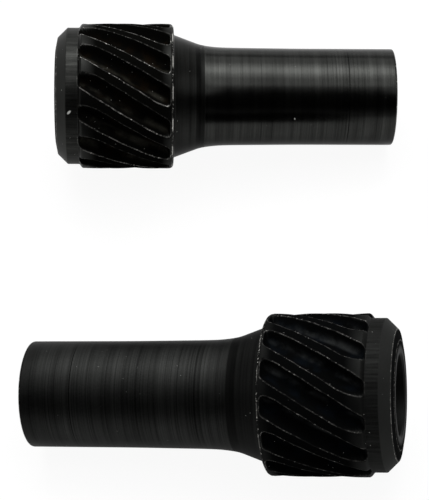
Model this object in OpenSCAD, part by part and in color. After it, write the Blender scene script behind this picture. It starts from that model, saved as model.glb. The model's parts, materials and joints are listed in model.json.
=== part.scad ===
// Pair of hollow helical pinions, each turned and cut from one bar.
// They lie side by side on a flat surface, heads at opposite ends.
// Row frame: +X to the right, +Y to the rear, +Z up, floor at z = 0.

/* [Overall] */
// Length from the rim of the head to the end of the shank
total_len = 42; // [35:0.5:52]
// Diameter over the teeth
gear_od = 18; // [16.5:0.1:22]

/* [Teeth] */
// Number of teeth
teeth = 14; // [10:1:18]
// Helix angle at the outside diameter, right hand
helix_deg = 31.8; // [20:0.1:40]
// Depth of each groove below the outside diameter
tooth_depth = 1.25; // [0.8:0.05:1.5]
// Tooth top as a share of the tooth pitch
land_share = 0.33; // [0.2:0.01:0.5]
// Slope of each tooth flank
flank_deg = 22; // [10:1:35]
// Length of the toothed band
band_len = 11.7; // [8:0.1:14]
// Wall left between the grooves and the back of the head
back_wall = 0.45; // [0.3:0.05:1]
// Turn of the teeth about the axis, rear pinion
rear_phase = -1.7; // [-13:0.1:13]
// Turn of the teeth about the axis, front pinion
front_phase = -4.2; // [-13:0.1:13]

/* [Head] */
// Collar diameter beside the teeth
collar_d = 16.95; // [15.5:0.05:17.2]
// Length of the straight collar
collar_len = 1.45; // [0.8:0.05:3]
// Length of the collar chamfer
chamfer_len = 1.1; // [0.5:0.05:2]
// Diameter where the chamfer meets the steep cone
chamfer_d = 14.5; // [13.5:0.05:15]
// Length of the steep cone in front of the chamfer
cone_len = 0.35; // [0.2:0.05:1]
// Rim diameter at the very end
rim_d = 12.1; // [11.5:0.05:13]
// Length of the rounded back corner of the head
corner_len = 1; // [0.5:0.05:1.5]

/* [Shank] */
// Diameter where the neck leaves the head
neck_d = 15.3; // [14.8:0.05:15.8]
// Length of the straight neck cone
neck_len = 3.3; // [2:0.1:6]
// Half angle of the neck cone
neck_deg = 20.4; // [14:0.1:23]
// Length of the soft blend from cone to shank
blend_len = 4; // [1:0.1:5]
// Bearing diameter of the shank
shank_d = 12; // [11:0.05:12.6]
// Length of the bearing part, at the end of the shank
bearing_len = 12; // [8:0.5:14]
// How much thicker the shank is beside the neck
shank_taper = 0.16; // [0:0.01:0.3]
// Rounding at the end of the shank
end_round = 0.4; // [0.2:0.05:1]

/* [Bore] */
// Bore diameter, right through
bore_d = 9; // [6:0.05:10]
// Small bevel at both mouths of the bore
mouth_bevel = 0.2; // [0.1:0.05:0.4]

/* [Layout] */
// Distance between the two pinions, front to back
row_gap = 43.4; // [30:0.1:60]
// Sideways shift of the rear pinion against the front one
row_shift = -0.7; // [-8:0.1:8]
// Yaw of each pinion, shank end turned to the rear
yaw_deg = 3.9; // [0:0.1:8]

/* [Hidden] */
$fn = 96;
gear_r = gear_od / 2;
collar_r = collar_d / 2;
shank_r = shank_d / 2;
bore_r = bore_d / 2;
teeth_from = cone_len + chamfer_len + collar_len;
head_len = teeth_from + band_len;
front_slope = 0.25;
groove_from = teeth_from + front_slope / 2;
groove_to = head_len - back_wall;
neck_to = head_len + neck_len;
blend_to = neck_to + blend_len;
cone_end_r = neck_d / 2 - neck_len * tan(neck_deg);
taper_r = shank_r + shank_taper / 2;
bearing_from = total_len - bearing_len;
// The rounding at the end never takes more than most of the wall there
tail_round = min(end_round, 0.8 * (shank_r - bore_r - mouth_bevel));
lead = PI * gear_od / tan(helix_deg);
pitch_deg = 360 / teeth;

// Half width of a groove at the outside diameter, and how far each flank runs in
half_top = (1 - land_share) * pitch_deg / 2;
flank_run = tooth_depth * tan(flank_deg) / cos(helix_deg) / (gear_r - tooth_depth / 2);
half_floor = half_top - flank_run * 180 / PI;
cut_over = 0.5;
half_over = half_top + cut_over * (half_top - half_floor) / tooth_depth;

// Both ends of a groove close in over these lengths, as the cutter leaves them
end_len = 0.6;
blunt_in = 5;
sharp_in = 2.5;
floor_rise = 0.45;

// A lying pinion touches down at the head's back corner and at the shank's end
touch_head = head_len - corner_len;
touch_tail = total_len - tail_round;
lie_deg = atan((gear_r - shank_r) / (touch_tail - touch_head));
rest_z = (gear_r + touch_head * tan(lie_deg)) * cos(lie_deg);
along_x = cos(yaw_deg) * cos(lie_deg);
across_x = sqrt(1 - along_x * along_x);
left_x = -rim_d / 2 * across_x;
right_x = total_len * along_x + (shank_r - tail_round) * across_x;
mid_x = (left_x + right_x) / 2;
mid_s = (teeth_from + touch_head) / 2;
mid_y = mid_s * sin(yaw_deg) * cos(lie_deg);

// Radius along the blend, from the end of the cone to the taper
function blend_r(t) = taper_r + (cone_end_r - taper_r) * pow(1 - t, 2.2);

// Outline of the blank from axis to outside, x is radius and y is distance from the rim
module blank_outline() {
  bevel_r = bore_r + mouth_bevel;
  polygon([
    [bevel_r, 0],
    [rim_d / 2, 0],
    [chamfer_d / 2, cone_len],
    [collar_r, cone_len + chamfer_len],
    [collar_r, teeth_from],
    [gear_r - 0.12, teeth_from + front_slope],
    [gear_r, teeth_from + 2 * front_slope],
    [gear_r, touch_head],
    [gear_r - corner_len * 0.15, head_len - corner_len * 0.5],
    [gear_r - corner_len * 0.45, head_len - corner_len * 0.18],
    [gear_r - corner_len * 0.85, head_len],
    [neck_d / 2, head_len],
    each [for (t = [0 : 0.25 : 1]) [blend_r(t), neck_to + blend_len * t]],
    [shank_r, bearing_from],
    [shank_r, total_len - tail_round],
    [shank_r - tail_round * 0.3, total_len - tail_round * 0.3],
    [shank_r - tail_round, total_len],
    [bevel_r, total_len],
    [bore_r, total_len - mouth_bevel],
    [bore_r, mouth_bevel]
  ]);
}

// How much of the closing-in applies at a distance from a groove's end
function closing(from_end) = from_end >= end_len ? 0 : 1 - sqrt(1 - pow(1 - from_end / end_len, 2));

// Angle of a groove's centre line at a distance from the rim
function centre_deg(s) = 360 * (s - teeth_from) / lead;

// Edge angles of a groove, side is -1 or 1; opposite corners are blunt
function edge_in(s, side) =
  side * (side > 0
    ? blunt_in * closing(s - groove_from) + sharp_in * closing(groove_to - s)
    : sharp_in * closing(s - groove_from) + blunt_in * closing(groove_to - s));

function floor_r(s) =
  gear_r - tooth_depth + floor_rise * (closing(s - groove_from) + closing(groove_to - s));

// One cross-section of a groove: down one flank, over the floor, up the other
SECTION = [[-1, 1], [-1, 0.15], [-0.55, 0], [0.55, 0], [1, 0.15], [1, 1]];

function section_half(up) = half_floor + (half_over - half_floor) * up;

function section_r(s, up) = floor_r(s) + (gear_r + cut_over - floor_r(s)) * up;

function groove_point(s, p) =
  let (half = section_half(p[1]))
  let (a = centre_deg(s) + p[0] * half - edge_in(s, p[0] < 0 ? -1 : 1) * min(1, half / half_top))
  [section_r(s, p[1]) * cos(a), section_r(s, p[1]) * sin(a), s];

END_STEPS = [0, 0.1, 0.4, 1];
BODY_STEPS = 5;
body_from = groove_from + end_len;
body_span = groove_to - end_len - body_from;
STATIONS = concat(
  [for (e = END_STEPS) groove_from + end_len * e],
  [for (i = [1 : BODY_STEPS - 1]) body_from + body_span * i / BODY_STEPS],
  [for (i = [3 : -1 : 0]) groove_to - end_len * END_STEPS[i]]
);

// One closed groove as a cutter, swept along the helix
module groove_cutter() {
  m = len(SECTION);
  n = len(STATIONS);
  points = [for (s = STATIONS) for (p = SECTION) groove_point(s, p)];
  sides_a = [for (i = [0 : n - 2]) for (j = [0 : m - 1])
    [i * m + j, i * m + (j + 1) % m, (i + 1) * m + (j + 1) % m]];
  sides_b = [for (i = [0 : n - 2]) for (j = [0 : m - 1])
    [i * m + j, (i + 1) * m + (j + 1) % m, (i + 1) * m + j]];
  cap_a = [for (j = [1 : m - 2]) [0, j + 1, j]];
  cap_b = [for (j = [1 : m - 2]) [(n - 1) * m, (n - 1) * m + j, (n - 1) * m + j + 1]];
  polyhedron(points = points, faces = concat(sides_a, sides_b, cap_a, cap_b));
}

// A finished pinion standing on its rim, axis along +Z
module pinion(phase) {
  difference() {
    rotate_extrude() blank_outline();
    for (k = [0 : teeth - 1])
      rotate([0, 0, phase + k * pitch_deg]) groove_cutter();
  }
}

// Lays a pinion down with its head to the left
module lie_down() {
  translate([-mid_x, -mid_y, rest_z])
    rotate([0, 0, yaw_deg])
      rotate([0, 90 + lie_deg, 0])
        children();
}

module rear_pinion() {
  color([0.07, 0.07, 0.075])
    translate([row_shift / 2, row_gap / 2, 0])
      lie_down() pinion(rear_phase);
}

// The front pinion is the same part with its head to the right
module front_pinion() {
  color([0.06, 0.065, 0.06])
    translate([mid_x - row_shift / 2, -row_gap / 2 - mid_y, rest_z])
      rotate([0, 0, 180 - yaw_deg])
        rotate([0, 90 + lie_deg, 0])
          pinion(front_phase);
}

rear_pinion();
front_pinion();
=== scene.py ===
import json
import math

import bpy
import numpy as np
from mathutils import Matrix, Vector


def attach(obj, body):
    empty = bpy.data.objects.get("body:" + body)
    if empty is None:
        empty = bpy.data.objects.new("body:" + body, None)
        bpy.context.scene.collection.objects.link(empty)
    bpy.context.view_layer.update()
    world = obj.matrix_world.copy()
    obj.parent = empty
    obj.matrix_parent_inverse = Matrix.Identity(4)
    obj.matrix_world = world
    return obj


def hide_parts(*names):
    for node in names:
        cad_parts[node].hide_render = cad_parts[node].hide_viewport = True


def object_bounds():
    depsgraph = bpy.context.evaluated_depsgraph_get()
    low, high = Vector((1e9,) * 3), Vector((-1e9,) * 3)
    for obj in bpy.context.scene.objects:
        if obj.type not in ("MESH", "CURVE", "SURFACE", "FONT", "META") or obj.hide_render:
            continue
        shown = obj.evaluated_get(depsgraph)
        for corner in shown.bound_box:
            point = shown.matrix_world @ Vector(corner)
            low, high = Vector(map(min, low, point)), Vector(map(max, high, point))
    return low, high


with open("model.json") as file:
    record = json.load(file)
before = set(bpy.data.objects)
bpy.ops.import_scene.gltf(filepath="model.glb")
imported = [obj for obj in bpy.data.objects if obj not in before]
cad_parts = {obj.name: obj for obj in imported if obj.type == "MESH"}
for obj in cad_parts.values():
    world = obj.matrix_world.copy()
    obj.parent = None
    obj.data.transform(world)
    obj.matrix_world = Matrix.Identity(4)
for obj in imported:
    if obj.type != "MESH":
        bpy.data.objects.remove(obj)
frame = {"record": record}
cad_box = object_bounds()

# The camera looks down on the pair from the front, a little from the right
# and slightly rolled, through a long lens.
CAMERA_HEIGHT_ANGLE = math.radians(54.28)
CAMERA_SIDE_ANGLE = math.radians(8.65)
CAMERA_ROLL = math.radians(-7.40)
CAMERA_DISTANCE = 0.2249
CAMERA_TARGET = np.array([0.0, 0.0, 0.008])
CAMERA_SLIDE = (-0.00055, -0.00072)
CAMERA_LENS, CAMERA_SENSOR = 136.8, 36.0
CAMERA_CLIP = (0.01, 20.0)


def aim_camera():
    """The view direction drops by the height angle and turns by the side angle; right is level, up
    is right x view, and the roll turns both about the view direction."""
    turn, drop = CAMERA_SIDE_ANGLE, CAMERA_HEIGHT_ANGLE
    ahead = np.array([-math.sin(turn) * math.cos(drop),
                      math.cos(turn) * math.cos(drop),
                      -math.sin(drop)])
    level = np.array([math.cos(turn), math.sin(turn), 0.0])
    upright = np.cross(level, ahead)
    right = level * math.cos(CAMERA_ROLL) + upright * math.sin(CAMERA_ROLL)
    up = upright * math.cos(CAMERA_ROLL) - level * math.sin(CAMERA_ROLL)
    place = CAMERA_TARGET - ahead * CAMERA_DISTANCE
    place = place + right * CAMERA_SLIDE[0] + up * CAMERA_SLIDE[1]
    data = bpy.data.cameras.new("camera")
    data.lens, data.sensor_width = CAMERA_LENS, CAMERA_SENSOR
    data.clip_start, data.clip_end = CAMERA_CLIP
    camera = bpy.data.objects.new("camera", data)
    bpy.context.scene.collection.objects.link(camera)
    pose = np.eye(4)
    pose[:3, 0], pose[:3, 1], pose[:3, 2], pose[:3, 3] = right, up, -ahead, place
    camera.matrix_world = Matrix(pose.tolist())
    bpy.context.scene.camera = camera


aim_camera()


# The studio: a wide white sheet under the pair, a soft box above and behind it, a white card high
# on each side, and surroundings that are pale at the horizon and darkest over the camera.
class Wire:
    """One output socket. + - and * on wires and numbers add Math nodes."""

    def __init__(self, tree, socket):
        self.tree, self.socket = tree, socket

    def __add__(self, other):
        return self.tree.math("ADD", self, other)

    def __radd__(self, other):
        return self.tree.math("ADD", other, self)

    def __sub__(self, other):
        return self.tree.math("SUBTRACT", self, other)

    def __rsub__(self, other):
        return self.tree.math("SUBTRACT", other, self)

    def __mul__(self, other):
        return self.tree.math("MULTIPLY", self, other)

    def __rmul__(self, other):
        return self.tree.math("MULTIPLY", other, self)

    def outputs(self):
        """Every output of this wire's node, in order."""
        return [Wire(self.tree, port) for port in self.socket.node.outputs]


class Tree:
    """A node tree that starts empty."""

    def __init__(self, owner):
        owner.use_nodes = True
        self.nodes, self.links = owner.node_tree.nodes, owner.node_tree.links
        self.nodes.clear()

    def add(self, kind, settings=None, sockets=None, out=0):
        """Any node: its settings first, then the values or wires of its sockets. Sockets are found
        by identifier, then by name. The node's output "out" comes back as a wire."""
        node = self.nodes.new("ShaderNode" + kind)
        for name, value in (settings or {}).items():
            setattr(node, name, value)
        for name, value in (sockets or {}).items():
            ports = [p for p in node.inputs if p.identifier == name] or [node.inputs[name]]
            if isinstance(value, Wire):
                self.links.new(value.socket, ports[0])
            else:
                ports[0].default_value = value
        ports = [p for p in node.outputs if p.identifier == out] if isinstance(out, str) else []
        return Wire(self, ports[0] if ports else node.outputs[out]) if node.outputs else node

    def math(self, operation, *values):
        return self.add("Math", {"operation": operation}, dict(zip(("Value", "Value_001"), values)))

    def most(self, first, second):
        return self.math("MAXIMUM", first, second)

    def least(self, first, second):
        return self.math("MINIMUM", first, second)

    def step(self, value, low, high):
        """0 below low, 1 above high, and 3t^2 - 2t^3 between."""
        ends = {"Value": value, "From Min": low, "From Max": high}
        return self.add("MapRange", {"interpolation_type": "SMOOTHSTEP"}, ends)

    def blend(self, share, first, second):
        """Colour first where share is 0 and second where it is 1."""
        ends = {"Factor_Float": share, "A_Color": first, "B_Color": second}
        return self.add("Mix", {"data_type": "RGBA"}, ends, out="Result_Color")


SHEET_HALF = 3.0
SHEET_WHITE = 0.82
SHEET_LIFT, SHEET_MIRRORED_LIFT = 0.89, 0.35
SHEET_GLOW = 1.05
BOX_AWAY = 0.42
BOX_GAP = 0.01
BOX_HEIGHT_ANGLE = math.radians(62)
BOX_SHEETS = ((0.34, 0.12, 2.2), (0.41, 0.27, 1.5), (0.48, 0.72, 1.3))
SIDE_CARDS = (((0.57, -0.15, 0.81), 1.2), ((-0.70, -0.10, 0.70), 0.8))
CARD_EDGE = (0.90, 0.97)
HORIZON_EDGE = (0.02, 0.42)
FRONT_EDGE = (-0.25, 0.35)
HORIZON_LIGHT, HORIZON_FRONT_LOSS = 1.65, 1.35
HIGH_LIGHT, HIGH_FRONT_LOSS = 0.22, 0.20


def lay_sheet():
    """A flat square at the height of the pair's lowest point. It glows a little to the eye and in
    reflections, so that it stays white, and is plain white paper to everything else."""
    floor = cad_box[0].z
    corners = [(-SHEET_HALF, -SHEET_HALF, floor), (SHEET_HALF, -SHEET_HALF, floor),
               (SHEET_HALF, SHEET_HALF, floor), (-SHEET_HALF, SHEET_HALF, floor)]
    mesh = bpy.data.meshes.new("white_sheet")
    mesh.from_pydata(corners, [], [(0, 1, 2, 3)])
    sheet = bpy.data.objects.new("white_sheet", mesh)
    bpy.context.scene.collection.objects.link(sheet)
    finish = bpy.data.materials.new("white_sheet")
    tree = Tree(finish)
    paper = tree.add("BsdfDiffuse", None, {"Color": (SHEET_WHITE, SHEET_WHITE, SHEET_WHITE, 1)})
    seen = tree.add("LightPath", None, None, out="Is Camera Ray")
    mirrored = tree.add("LightPath", None, None, out="Is Glossy Ray")
    glow = tree.add("Emission", None, {"Color": (1, 1, 1, 1), "Strength": SHEET_GLOW})
    share = tree.most(seen * SHEET_LIFT, mirrored * SHEET_MIRRORED_LIFT)
    both = tree.add("MixShader", None, {"Fac": share, "Shader": paper, "Shader_001": glow})
    tree.add("OutputMaterial", None, {"Surface": both})
    mesh.materials.append(finish)


def hang_soft_box():
    """Three sheets of light, one behind the other, so that the box fades towards its edges. Each
    has its width, height and light per area; power = light x area x pi."""
    toward = np.array([0.0, math.cos(BOX_HEIGHT_ANGLE), math.sin(BOX_HEIGHT_ANGLE)])
    middle = toward * BOX_AWAY
    for count, (width, height, light) in enumerate(BOX_SHEETS):
        data = bpy.data.lights.new(f"soft_box_{count}", "AREA")
        data.shape, data.size, data.size_y = "RECTANGLE", width, height
        data.energy = light * width * height * math.pi
        box = bpy.data.objects.new(data.name, data)
        bpy.context.scene.collection.objects.link(box)
        spin = Matrix.Rotation(-(math.pi / 2 - BOX_HEIGHT_ANGLE), 4, "X")
        place = middle * (1 + BOX_GAP * count)
        box.matrix_world = Matrix.Translation(place.tolist()) @ spin


def paint_surroundings():
    """Light by direction: a pale band at the horizon that fades with height, less light towards
    the front in both, and a white card high on each side. The eye sees white all round."""
    world = bpy.context.scene.world or bpy.data.worlds.new("studio")
    bpy.context.scene.world = world
    tree = Tree(world)
    way = tree.add("TexCoord", None, None, out="Generated")
    _, back, high = tree.add("SeparateXYZ", None, {"Vector": way}).outputs()
    horizon = 1 - tree.step(high, *HORIZON_EDGE)
    front = tree.step(0 - back, *FRONT_EDGE)
    upper = HIGH_LIGHT - HIGH_FRONT_LOSS * front
    light = horizon * (HORIZON_LIGHT - HORIZON_FRONT_LOSS * front) + (1 - horizon) * upper
    for direction, glow in SIDE_CARDS:
        facing = tree.add("VectorMath", {"operation": "DOT_PRODUCT"},
                          {"Vector": way, "Vector_001": direction}, out="Value")
        light = light + tree.step(facing, *CARD_EDGE) * glow
    seen = tree.add("LightPath", None, None, out="Is Camera Ray")
    sky = tree.add("Background", None, {"Strength": tree.most(seen, light)})
    tree.add("OutputWorld", None, {"Surface": sky})


lay_sheet()
hang_soft_box()
paint_surroundings()
bpy.context.scene.view_settings.view_transform = "Standard"

# Rear pinion: a hollow helical pinion, turned from one bar of steel, its fourteen closed grooves
# cut in afterwards, then blackened. It lies on the sheet with its head to the left.
MM = 0.001
TOTAL_LENGTH = 42.0
BORE_RADIUS, MOUTH_BEVEL = 4.5, 0.2
RIM_RADIUS = 6.05
CONE_END, CONE_RADIUS = 0.24, 7.28
CHAMFER_END = 1.45
COLLAR_END, COLLAR_RADIUS = 2.9, 8.475
BAND_START = 3.27
HEAD_END, TOOTH_RADIUS = 14.6, 9.0
NECK_RADIUS = 7.65
NECK_END, NECK_END_RADIUS = 17.9, 6.423
BLEND_END, TAPER_RADIUS, BLEND_POWER = 21.9, 6.08, 2.2
BLEND_SHARES, BLEND_ROUNDING = (0.3, 0.6), 1.5
BEARING_START, SHANK_RADIUS = 30, 6.0

TEETH = 14
PITCH = 2 * math.pi / TEETH
HELIX = math.radians(31.8)
LEAD = 2 * math.pi * TOOTH_RADIUS / math.tan(HELIX)
LAND_SHARE = 0.33
GROOVE_HALF_TURN = (1 - LAND_SHARE) * PITCH / 2
GROOVE_DEPTH = 1.25
GROOVE_START, GROOVE_STOP = 2.88, 14.15
FLANK_ANGLE = math.radians(22)
BLUNT_CORNER, SHARP_CORNER = 0.8, 0.3
FRONT_RUN_IN, FRONT_RUN_LENGTH = 0.93, 3.0
BACK_RUN_IN, BACK_RUN_LENGTH = 0.40, 2.0
ROOT_ROUNDING, EDGE_ROUNDING, BLANK_ROUNDING = 0.7, 0.07, 0.03
EDGE_BURR, BURR_AWAY, BURR_WIDTH = 0.018, 0.06, 0.05
EDGE_WAVES = ((3.1, 0.018), (1.3, 0.010), (0.55, 0.006))

# How finely the surface is laid out: points round a corner, columns on each side of an edge and
# how much they crowd to it, the distance between rows in each part, and in mm from the rim where
# the teeth are looked for, where they may cut, and where their dull finish starts and lets up.
ARC_STEPS, ARC_REACH, ARC_ROOM, LONG_ROUNDING = 5, 1.15, 0.47, 0.9
FLOOR_COLUMNS, LAND_COLUMNS, COLUMN_CROWDING = 9, 6, 2.5
ROW_AT_GROOVE_END, ROW_ALONG_GROOVE, ROW_ON_END_FACE = 0.065, 0.27, 0.16
ROW_IN_BORE, ROW_ELSEWHERE = 4.0, 2.0
OUTSIDE_FROM = 4.95
NEAR_TEETH, CLEAR_OF_GROOVES = (2.0, 15.0), -2.0
CUT_FROM, CUT_PAST_HEAD = 2.5, 0.01
LAND_DULL_FROM, LAND_DULL_OVER = 3.1, 1.9
LAND_CLEARS_FROM, LAND_CLEARS_OVER, LAND_CLEARS_BY = 13.1, 0.9, 0.6
FLOOR_DULL_OVER = 0.1


def outline_corners():
    """The closed outline from the bore's front mouth, over the outside, to the tail and back
    through the bore. Each row: distance from the rim, radius, rounding, 1 where the corner is worn
    bright. The blend's radius is taper + (neck end - taper) x (1 - share) ^ power."""
    mouth = BORE_RADIUS + MOUTH_BEVEL
    head = [(MOUTH_BEVEL, BORE_RADIUS, 0.06, 0), (0, mouth, 0.06, 1), (0, RIM_RADIUS, 0.09, 1),
            (CONE_END, CONE_RADIUS, 0.10, 1), (CHAMFER_END, COLLAR_RADIUS, 0.12, 0),
            (COLLAR_END, COLLAR_RADIUS, 0.12, 0), (BAND_START, TOOTH_RADIUS, 0.35, 0),
            (HEAD_END, TOOTH_RADIUS, 1.15, 0), (HEAD_END, NECK_RADIUS, 0.22, 0),
            (NECK_END, NECK_END_RADIUS, 0.9, 0)]
    share = np.array(BLEND_SHARES)
    swell = (NECK_END_RADIUS - TAPER_RADIUS) * (1 - share) ** BLEND_POWER
    blend = np.stack([NECK_END + (BLEND_END - NECK_END) * share, TAPER_RADIUS + swell,
                      share * 0 + BLEND_ROUNDING, share * 0], 1)
    tail = [(BLEND_END, TAPER_RADIUS, 2.0, 0), (BEARING_START, SHANK_RADIUS, 2.0, 0),
            (TOTAL_LENGTH, SHANK_RADIUS, 0.22, 1), (TOTAL_LENGTH, mouth, 0.06, 1),
            (TOTAL_LENGTH - MOUTH_BEVEL, BORE_RADIUS, 0.06, 0)]
    return np.vstack([np.array(head), blend, np.array(tail)])


def row_spacing(s, r):
    """How far apart the rows may stand: closest where the grooves end, wide along plain parts."""
    groove_end = ((s > 2.8) & (s < 4.1)) | ((s > 13.0) & (s < 14.65))
    in_bore = r < 4.6
    along_groove = (s > 4.0) & (s < 13.1)
    end_face = (s < 1.5) | (s > 41.5)
    wide = np.where(end_face, ROW_ON_END_FACE, ROW_ELSEWHERE)
    wide = np.where(along_groove, ROW_ALONG_GROOVE, wide)
    return np.where(in_bore, ROW_IN_BORE, np.where(groove_end, ROW_AT_GROOVE_END, wide))


def rounded_outline():
    """Each corner P becomes the curve (1-k)^2 A + 2k(1-k) P + k^2 B between the points A and B
    where the rounding starts: rounding / tan(half the corner's angle) away, times the arc's reach,
    or for a long soft rounding just that length, and never past the arc's room on either side. Long
    stretches are then divided evenly. Returns distance from the rim, radius and the way along the
    outline to the nearest worn corner, one value a row."""
    corners = outline_corners()
    point = corners[:, :2]
    back, on = np.roll(point, 1, 0) - point, np.roll(point, -1, 0) - point
    back_len, on_len = np.linalg.norm(back, axis=1), np.linalg.norm(on, axis=1)
    back, on = back / back_len[:, None], on / on_len[:, None]
    half_angle = np.arccos(np.clip((back * on).sum(1), -1, 1)) / 2
    rounding, room = corners[:, 2], ARC_ROOM * np.minimum(back_len, on_len)
    short = rounding / np.tan(half_angle) * ARC_REACH
    reach = np.minimum(np.where(rounding >= LONG_ROUNDING, rounding, short), room)
    k = np.linspace(0, 1, ARC_STEPS)[None, :, None]
    first, last = point + back * reach[:, None], point + on * reach[:, None]
    curve = (1 - k) ** 2 * first[:, None] + 2 * k * (1 - k) * point[:, None]
    curve = (curve + k ** 2 * last[:, None]).reshape(-1, 2)
    onward = np.roll(curve, -1, 0) - curve
    length = np.linalg.norm(onward, axis=1)
    middle = curve + onward / 2
    counts = np.maximum(1, np.ceil(length / row_spacing(middle[:, 0], middle[:, 1]))).astype(int)
    which = np.repeat(np.arange(len(curve)), counts)
    starts = np.cumsum(counts) - counts
    part = (np.arange(counts.sum()) - starts[which]) / counts[which]
    rows = curve[which] + onward[which] * part[:, None]
    travel = np.cumsum(length) - length
    worn_at = travel[np.arange(len(point)) * ARC_STEPS + ARC_STEPS // 2][corners[:, 3] > 0]
    way = travel[which] + length[which] * part
    return rows[:, 0], rows[:, 1], np.abs(way[:, None] - worn_at[None]).min(1)


def column_turns():
    """Where the columns stand across one pitch, from -pitch/2: on each side of a groove's edge they
    spread as sinh(c t) / sinh(c), c being the crowding, so they are closest at the edge."""
    def spread(count):
        return np.sinh(COLUMN_CROWDING * np.arange(count + 1) / count) / math.sinh(COLUMN_CROWDING)

    floor_side = GROOVE_HALF_TURN * (1 - spread(FLOOR_COLUMNS)[:0:-1])
    land_side = GROOVE_HALF_TURN + (PITCH / 2 - GROOVE_HALF_TURN) * spread(LAND_COLUMNS)
    half = np.concatenate([floor_side, land_side])
    return np.concatenate([-half[:0:-1], half[:-1]])


def soft_least(a, b, k):
    """The lesser of a and b, with the crossing rounded over k."""
    h = np.clip(0.5 + 0.5 * (b - a) / k, 0, 1)
    return b * (1 - h) + a * h - k * h * (1 - h)


def groove_gap(s, turn, waver):
    """Distance in mm from a groove's edge on the tooth cylinder laid flat, positive inside: the
    lesser of the distances to the long edge and to the end, and near a corner R - |v|, where v runs
    from the centre of the corner's rounding R. The long edge moves in by a (1 - x / b)^2 over the
    last b mm before each sharp corner, where the cutter left early."""
    across = TOOTH_RADIUS * (np.mod(turn + PITCH / 2, PITCH) - PITCH / 2) * math.cos(HELIX)
    to_edge = TOOTH_RADIUS * GROOVE_HALF_TURN * math.cos(HELIX) - np.abs(across) + waver
    front_part = np.clip(1 - (s - GROOVE_START) / FRONT_RUN_LENGTH, 0, 1)
    back_part = np.clip(1 - (GROOVE_STOP - s) / BACK_RUN_LENGTH, 0, 1)
    run_in = np.where(across < 0, FRONT_RUN_IN * front_part ** 2, BACK_RUN_IN * back_part ** 2)
    to_edge = to_edge - run_in
    to_end = np.minimum(s - GROOVE_START, GROOVE_STOP - s) + 0 * across
    front = (s - GROOVE_START) < (GROOVE_STOP - s)
    blunt = (across > 0) == front
    rounding = np.where(blunt, BLUNT_CORNER, SHARP_CORNER)
    lean = np.where(blunt, math.sin(HELIX), np.where(front, 0.0, -math.sin(HELIX)))
    a, b = rounding - to_edge, rounding - to_end
    on_edge = (a - b * lean) / (1 - lean ** 2)
    on_end = (b - a * lean) / (1 - lean ** 2)
    away = np.sqrt(np.maximum(on_edge ** 2 + on_end ** 2 + 2 * on_edge * on_end * lean, 0))
    return np.where((on_edge > 0) & (on_end > 0), rounding - away, np.minimum(to_edge, to_end))


def bore_frame(bore_mount):
    """The rim's middle and the axis from the bore's mount, the way down square to the axis, and the
    way across square to both."""
    bore = next(m for m in frame["record"]["mounts"] if m["name"] == bore_mount)
    axis = np.array(bore["axis"]) / np.linalg.norm(bore["axis"])
    rim = np.array(bore["pos_m"]) - axis * TOTAL_LENGTH / 2 * MM
    down = np.array([0.0, 0.0, -1.0])
    down = down - axis * (down @ axis)
    down /= np.linalg.norm(down)
    return rim, axis, down, np.cross(axis, down)


def closed_grid(name, spot):
    """A smooth mesh over rows and columns of points, closed both ways: face (i, j) joins (i, j),
    (i, j + 1), (i + 1, j + 1) and (i + 1, j)."""
    rows, columns = spot.shape[:2]
    i, j = np.meshgrid(np.arange(rows), np.arange(columns), indexing="ij")
    i2, j2 = (i + 1) % rows, (j + 1) % columns
    faces = np.stack([i * columns + j, i * columns + j2, i2 * columns + j2, i2 * columns + j], -1)
    mesh = bpy.data.meshes.new(name)
    mesh.vertices.add(rows * columns)
    mesh.vertices.foreach_set("co", spot.reshape(-1).astype(np.float32))
    mesh.loops.add(faces.size)
    mesh.loops.foreach_set("vertex_index", faces.reshape(-1).astype(np.int32))
    mesh.polygons.add(rows * columns)
    mesh.polygons.foreach_set("loop_start", np.arange(0, faces.size, 4, dtype=np.int32))
    mesh.update(calc_edges=True)
    mesh.polygons.foreach_set("use_smooth", np.ones(rows * columns, bool))
    return mesh


def edge_waver(s, column, seed):
    """How far each long edge strays: three waves along the axis, each started by chance."""
    chance = np.random.default_rng(seed)
    waver = np.zeros(np.broadcast(s, column).shape)
    edge_number = np.floor((column + PITCH) / (PITCH / 2)).astype(int) % (2 * TEETH)
    for wave_length, swing in EDGE_WAVES:
        start = chance.uniform(0, 2 * math.pi, 2 * TEETH)
        waver += swing * np.sin(2 * math.pi * s / wave_length + start[edge_number][None])
    return waver


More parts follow.
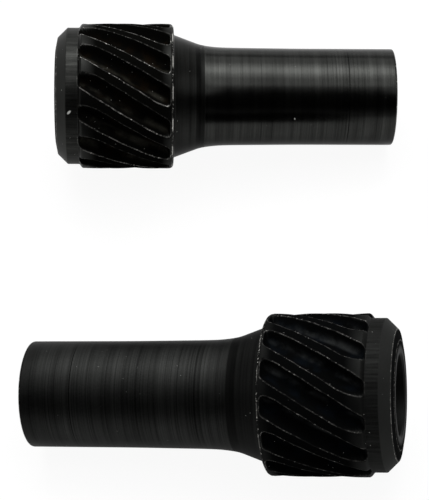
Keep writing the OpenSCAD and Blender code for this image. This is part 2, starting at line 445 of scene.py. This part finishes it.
def pinion_mesh(name, bore_mount, phase, seed):
    """Rows run along the rounded outline and columns round the axis, twisting with the helix over
    the teeth: angle = phase + column + 2 pi s / lead. The radius is the lesser of the turned
    outline and the tooth radius less the groove's depth, which grows as gap / tan(flank) down to a
    rounded root. What the finish needs is kept at each point as an attribute."""
    s, blank, corner = rounded_outline()
    column = (np.arange(TEETH)[:, None] * PITCH + column_turns()[None]).ravel()
    s, blank, corner = s[:, None], blank[:, None], corner[:, None]
    twist = 2 * math.pi * (np.clip(s, COLLAR_END, GROOVE_STOP) - COLLAR_END) / LEAD
    angle = phase + twist + column[None]
    true_turn = angle - phase - 2 * math.pi * (s - COLLAR_END) / LEAD
    outside = blank > OUTSIDE_FROM
    gap = groove_gap(s, true_turn, edge_waver(s, column, seed))
    near_teeth = outside & (s > NEAR_TEETH[0]) & (s < NEAR_TEETH[1])
    gap = np.where(near_teeth, gap, CLEAR_OF_GROOVES)
    depth = soft_least(gap / math.tan(FLANK_ANGLE), GROOVE_DEPTH + 0 * gap, ROOT_ROUNDING)
    depth = -soft_least(-depth, 0 * depth, EDGE_ROUNDING)
    burr = EDGE_BURR * np.exp(-((gap + BURR_AWAY) / BURR_WIDTH) ** 2)
    burr = burr * (np.abs(blank - TOOTH_RADIUS) < 0.02)
    in_band = outside & (s > CUT_FROM) & (s < HEAD_END + CUT_PAST_HEAD)
    cut = soft_least(blank + burr, TOOTH_RADIUS - depth + burr, BLANK_ROUNDING)
    radius = np.where(in_band, cut, blank + 0 * gap)

    rim, axis, down, side = bore_frame(bore_mount)
    across, deep = radius * np.cos(angle), radius * np.sin(angle)
    spot = rim + MM * (s[..., None] * axis + across[..., None] * down + deep[..., None] * side)
    mesh = closed_grid(name, spot)

    def keep(label, kind, field, values):
        layer = mesh.attributes.new(label, kind, "POINT")
        layer.data.foreach_set(field, values.reshape(-1).astype(np.float32))

    keep("place", "FLOAT_VECTOR", "vector", np.stack([s + 0 * angle, across, deep], -1))
    keep("groove_gap", "FLOAT", "value", gap)
    keep("corner_gap", "FLOAT", "value", corner + 0 * angle)
    clears = np.clip((s - LAND_CLEARS_FROM) / LAND_CLEARS_OVER, 0, 1)
    land = np.clip((s - LAND_DULL_FROM) / LAND_DULL_OVER, 0, 1) * (1 - LAND_CLEARS_BY * clears)
    toothed = np.maximum(land, np.clip(gap / FLOOR_DULL_OVER, 0, 1))
    toothed = toothed * (outside & (s < HEAD_END - 0.02))
    keep("toothed", "FLOAT", "value", toothed)
    keep("tooth_turn", "FLOAT", "value", np.mod(true_turn / PITCH + 0.5, 1) - 0.5)
    piece = bpy.data.objects.new(name, mesh)
    bpy.context.scene.collection.objects.link(piece)
    return piece


# The finish: bare metal and dust, where the zones start and stop, how strongly each one mirrors
# and how rough it is, how grey it mirrors at a slant, and how deep the fine relief is, in metres.
BARE_STEEL = (0.62, 0.61, 0.575, 1)
DUST_ON_TURNED, DUST_ON_CUT = (0.62, 0.63, 0.60, 1), (0.60, 0.61, 0.58, 1)
ZONE_EDGE = 0.05
SHOULDER_START, SHANK_START = 17.3, 18.4
DARK_RINGS = ((36.07, 36.17, 0.9), (26.0, 26.06, 0.5))
BACK_WALL, BACK_EDGE, FRONT_SHOULDER = (14.38, 14.47), (14.34, 14.50), (2.6, 3.15)
MIRROR, MIRROR_CHAMFER, MIRROR_COLLAR, MIRROR_SHANK = 0.022, 0.008, 0.002, 0.006
MIRROR_MOST = 0.1
ROUGH_CHAMFER, ROUGH_COLLAR, ROUGH_NECK, ROUGH_SHANK = 0.10, 0.09, -0.04, -0.13
ROUGH_LAND, ROUGH_FLOOR_LOSS = 0.62, 0.22
EDGE_GREY = (0.68, 0.68, 0.68, 1)
TURNED_RELIEF, CUT_RELIEF = 0.000006, 0.00001
END_FACE_MATT = 0.92


def blackened_steel(name, shade, gloss, roughness, tooth_black, tooth_stain, tooth_sheen,
                    faint_edge, bright_edge, wall_glow, seed, flecks):
    """Black oxide on steel. The turned parts are a dim mirror whose strength and roughness change
    from zone to zone, with fine rings where the tool turned and streaks along the collar. The teeth
    and the end faces are dull. Worn edges and dust shine on both."""
    finish = bpy.data.materials.new(name)
    tree = Tree(finish)

    def kept(label, out="Fac"):
        """An attribute that the mesh keeps at each point."""
        return tree.add("Attribute", {"attribute_name": label}, None, out=out)

    place = kept("place", "Vector")
    gap, corner = kept("groove_gap"), kept("corner_gap")
    toothed, tooth_turn = kept("toothed"), kept("tooth_turn")
    s, across, deep = tree.add("SeparateXYZ", None, {"Vector": place}).outputs()
    radius = tree.math("SQRT", across * across + deep * deep)

    def grain(along, around, detail=2.0, shift=0.0):
        """Noise on the place in mm, scaled apart along the axis and around it."""
        moved = tree.add("Mapping", None, {"Vector": place, "Scale": (along, around, around),
                                           "Location": (seed + shift, seed * 0.7, shift)})
        return tree.add("TexNoise", None, {"Vector": moved, "Scale": 1.0, "Detail": detail,
                                           "Roughness": 0.55}, out="Fac")

    def dots(per_mm, size, rarity, shift):
        """Small dots: a cell's centre out to size, kept only in the cells above rarity."""
        moved = tree.add("Mapping", None, {"Vector": place, "Scale": (per_mm, per_mm, per_mm),
                                           "Location": (seed + shift, shift, seed)})
        apart, tint, _ = tree.add("TexVoronoi", None, {"Vector": moved, "Scale": 1.0}).outputs()[:3]
        lot = tree.add("SeparateXYZ", None, {"Vector": tint})
        return (1 - tree.step(apart, size * 0.5, size)) * tree.step(lot, rarity, rarity + 0.02)

    def zone(low, high):
        """1 between two distances from the rim, with a narrow soft edge at each."""
        started = tree.step(s, low - ZONE_EDGE, low + ZONE_EDGE)
        return started * (1 - tree.step(s, high - ZONE_EDGE, high + ZONE_EDGE))

    def fleck(distance, out, turn, lean, half_width):
        """A spot twice as long one way: sqrt(d^2 - 3/4 x (the part of d that way)^2) is small. It
        stands at a distance from the rim, a radius and a turn about the axis. The long way lies
        round the axis and leans along it, both angles in degrees."""
        turn, lean = math.radians(turn), math.radians(lean)
        spot = (distance, out * math.cos(turn), out * math.sin(turn))
        round_part = math.cos(lean)
        way = (math.sin(lean), -round_part * math.sin(turn), round_part * math.cos(turn))
        away = tree.add("VectorMath", {"operation": "SUBTRACT"},
                        {"Vector": place, "Vector_001": spot}, out="Vector")
        along = tree.add("VectorMath", {"operation": "DOT_PRODUCT"},
                         {"Vector": away, "Vector_001": way}, out="Value")
        far = tree.add("VectorMath", {"operation": "LENGTH"}, {"Vector": away}, out="Value")
        narrow = tree.math("SQRT", tree.most(far * far - along * along * 0.75, 0.0))
        return 1 - tree.step(narrow, half_width * 0.6, half_width)

    outer = tree.step(radius, 5.0, 5.7)
    end_faces = 1 - tree.step(s, 0.19, 0.27)
    chamfer = zone(CONE_END, CHAMFER_END) * outer
    collar = zone(CHAMFER_END, COLLAR_END + ZONE_EDGE) * outer
    neck = zone(HEAD_END, NECK_END) * outer
    shoulder = zone(SHOULDER_START, SHANK_START - ZONE_EDGE) * outer
    shank = tree.step(s, SHANK_START - ZONE_EDGE, SHANK_START + ZONE_EDGE) * outer

    rings = grain(6.5, 0.04, detail=3.0)
    wide_rings = grain(1.1, 0.03, shift=7.0)
    streaks = grain(0.22, 4.6, detail=3.0, shift=3.0)
    smudge = grain(0.28, 0.28, detail=3.0, shift=11.0)
    speckle = grain(9.0, 9.0, shift=17.0)

    # Mirror strength and roughness of the turned zones, with thin dark rings left by the tool.
    bands = tree.step(wide_rings, 0.40, 0.62)
    tool_lines = tree.step(grain(8.0, 0.02, detail=1.0, shift=13.0), 0.58, 0.66) * 0.40
    for low, high, darkness in DARK_RINGS:
        tool_lines = tree.most(tool_lines, zone(low, high) * darkness)
    strength = MIRROR + MIRROR_CHAMFER * chamfer + MIRROR_COLLAR * collar + MIRROR_SHANK * shank
    strength = strength * (0.70 + 0.6 * smudge) * (gloss + (1 - gloss) * chamfer)
    # The shoulder just before the shank mirrors less than half as strongly: painted shade where the
    # neck meets the shank.
    strength = strength * (1 - 0.30 * neck) * (1 - 0.55 * shoulder) * (1 - shank * tool_lines)
    along_shank = (rings - 0.5) * 1.6 + (bands - 0.5) * 0.35 + (speckle - 0.5) * 0.7
    along_collar = (streaks - 0.5) * 2.2 + (speckle - 0.5) * 0.8
    strength = strength * (1 + (shank + neck) * along_shank + collar * along_collar)
    rough = roughness + ROUGH_CHAMFER * chamfer + ROUGH_COLLAR * collar
    rough = rough + ROUGH_NECK * neck + ROUGH_SHANK * shank
    rough = rough + (wide_rings - 0.5) * 0.08 + (speckle - 0.5) * 0.05 + (smudge - 0.5) * 0.08

    # Worn corners and edges, bright in patches. Each groove has a bright and a faint long edge:
    # both are worn bare, and the extra brightness of the one edge is a painted highlight where it
    # catches the light. The thin wall behind it is rubbed bright beside its blunt corner.
    patches = tree.step(grain(1.6, 1.6, shift=23.0), 0.42, 0.62)
    nicks = tree.step(grain(5.0, 5.0, shift=29.0), 0.60, 0.68)
    corner_line = (1 - tree.step(corner, 0.02, 0.10)) * outer
    edge_line = 1 - tree.step(tree.math("ABSOLUTE", gap + 0.045), 0.025, 0.080)
    edge_wear_and_highlight = faint_edge + (bright_edge - faint_edge) * tree.step(tooth_turn, -0.05, 0.05)
    front_end = 1 - 0.75 * zone(*FRONT_SHOULDER)
    beside_blunt = tree.step(gap, -0.65, -0.35) * (1 - tree.step(tooth_turn, -0.12, 0.02))
    worn = edge_line * front_end * edge_wear_and_highlight * (0.035 + 0.20 * patches + 1.0 * nicks)
    worn = worn + zone(*BACK_WALL) * beside_blunt * wall_glow * (0.95 + 1.2 * nicks)
    worn = worn + zone(*BACK_EDGE) * nicks * 1.3
    worn = worn + corner_line * (0.04 + 0.16 * patches + 0.9 * nicks)
    worn = tree.least(worn, 1.0)

    # Dust and small pits that shine, fewer on the shank, and a few white flecks.
    dust = dots(2.0, 0.09, 0.86, 31.0) * outer * (1 - 0.75 * shank)
    for one in flecks:
        dust = tree.most(dust, fleck(*one))

    # The turned parts: the mirror's strength over its most is the share of the lightest black.
    lightest = tuple(MIRROR_MOST * part for part in shade) + (1,)
    share = tree.least(strength * (1 / MIRROR_MOST), 1.0)
    turned_colour = tree.blend(share, (0, 0, 0, 1), lightest)
    turned_colour = tree.blend(worn, turned_colour, BARE_STEEL)
    turned_colour = tree.blend(dust, turned_colour, DUST_ON_TURNED)
    height = rings * (shank + neck) + streaks * collar * 0.8 + speckle * 0.25 + smudge * 0.6
    relief = tree.add("Bump", None, {"Strength": 0.6, "Distance": TURNED_RELIEF,
                                     "Height": height}, out="Normal")
    turned = tree.add("BsdfPrincipled", None, {
        "Base Color": turned_colour, "Metallic": 1 - dust, "Roughness": rough,
        "Specular Tint": EDGE_GREY, "Normal": relief})

    # The teeth: dull black and stained in the grooves, with painted sheen in patches along one side
    # of each floor.
    floor = tree.step(gap, 0.05, 0.5)
    stain = tree.step(grain(0.5, 0.5, detail=3.0, shift=37.0), 0.42, 0.72) * floor
    painted_sheen = tree.step(tooth_turn, 0.0, 0.16) * (1 - tree.step(tooth_turn, 0.20, 0.32)) * floor
    painted_sheen = painted_sheen * tree.step(grain(0.35, 0.35, detail=4.0, shift=43.0), 0.40, 0.70)
    cut_colour = tree.blend(stain, tooth_black + (1,), tooth_stain + (1,))
    cut_colour = tree.blend(painted_sheen * (0.6 + 0.8 * speckle), cut_colour, tooth_sheen + (1,))
    cut_colour = tree.blend(worn, cut_colour, BARE_STEEL)
    cut_colour = tree.blend(dust, cut_colour, DUST_ON_CUT)
    cut_height = speckle * 0.5 + grain(2.5, 2.5, detail=3.0, shift=41.0)
    cut_relief = tree.add("Bump", None, {"Strength": 0.7, "Distance": CUT_RELIEF,
                                         "Height": cut_height}, out="Normal")
    cut = tree.add("BsdfPrincipled", None, {
        "Base Color": cut_colour, "Metallic": worn * 0.35,
        "Roughness": ROUGH_LAND - ROUGH_FLOOR_LOSS * floor + (smudge - 0.5) * 0.2,
        "Specular IOR Level": 0.0, "Normal": cut_relief})

    matt = tree.most(toothed, end_faces * outer * END_FACE_MATT)
    both = tree.add("MixShader", None, {"Fac": matt, "Shader": turned, "Shader_001": cut})
    tree.add("OutputMaterial", None, {"Surface": both})
    return finish


# Two white flecks, on the collar and on the shank: distance from the rim, radius, turn, lean and
# half width.
REAR_FLECKS = ((1.88, COLLAR_RADIUS, -126.3, 135, 0.18), (29.4, SHANK_RADIUS, -113.1, 0, 0.09))
rear = pinion_mesh("rear_pinion_steel", "rear_bore", phase=math.radians(-1.7), seed=5)
# The third tooth colour is the painted sheen on one side of each groove floor.
rear.data.materials.append(blackened_steel(
    "rear_blackened_steel", shade=(0.975, 1.0, 0.945), gloss=1.0, roughness=0.34,
    tooth_black=(0.0027, 0.0027, 0.0024), tooth_stain=(0.0074, 0.0050, 0.0030),
    tooth_sheen=(0.0380, 0.0370, 0.0300), faint_edge=0.22, bright_edge=1.0, wall_glow=1.0,
    seed=3.0, flecks=REAR_FLECKS))
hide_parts("rear_pinion")
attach(rear, "rear")

# Front pinion: the same part from the same run, lying the other way round, duller on its turned
# parts and with bluer stains in its grooves.
front = pinion_mesh("front_pinion_steel", "front_bore", phase=math.radians(-4.2), seed=8)
# Here too the third tooth colour is the painted sheen on one side of each groove floor.
front.data.materials.append(blackened_steel(
    "front_blackened_steel", shade=(0.97, 1.0, 0.96), gloss=0.70, roughness=0.58,
    tooth_black=(0.0024, 0.0026, 0.0027), tooth_stain=(0.0036, 0.0050, 0.0070),
    tooth_sheen=(0.0310, 0.0330, 0.0335), faint_edge=0.27, bright_edge=0.38, wall_glow=0.25,
    seed=11.0, flecks=()))
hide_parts("front_pinion")
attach(front, "front")
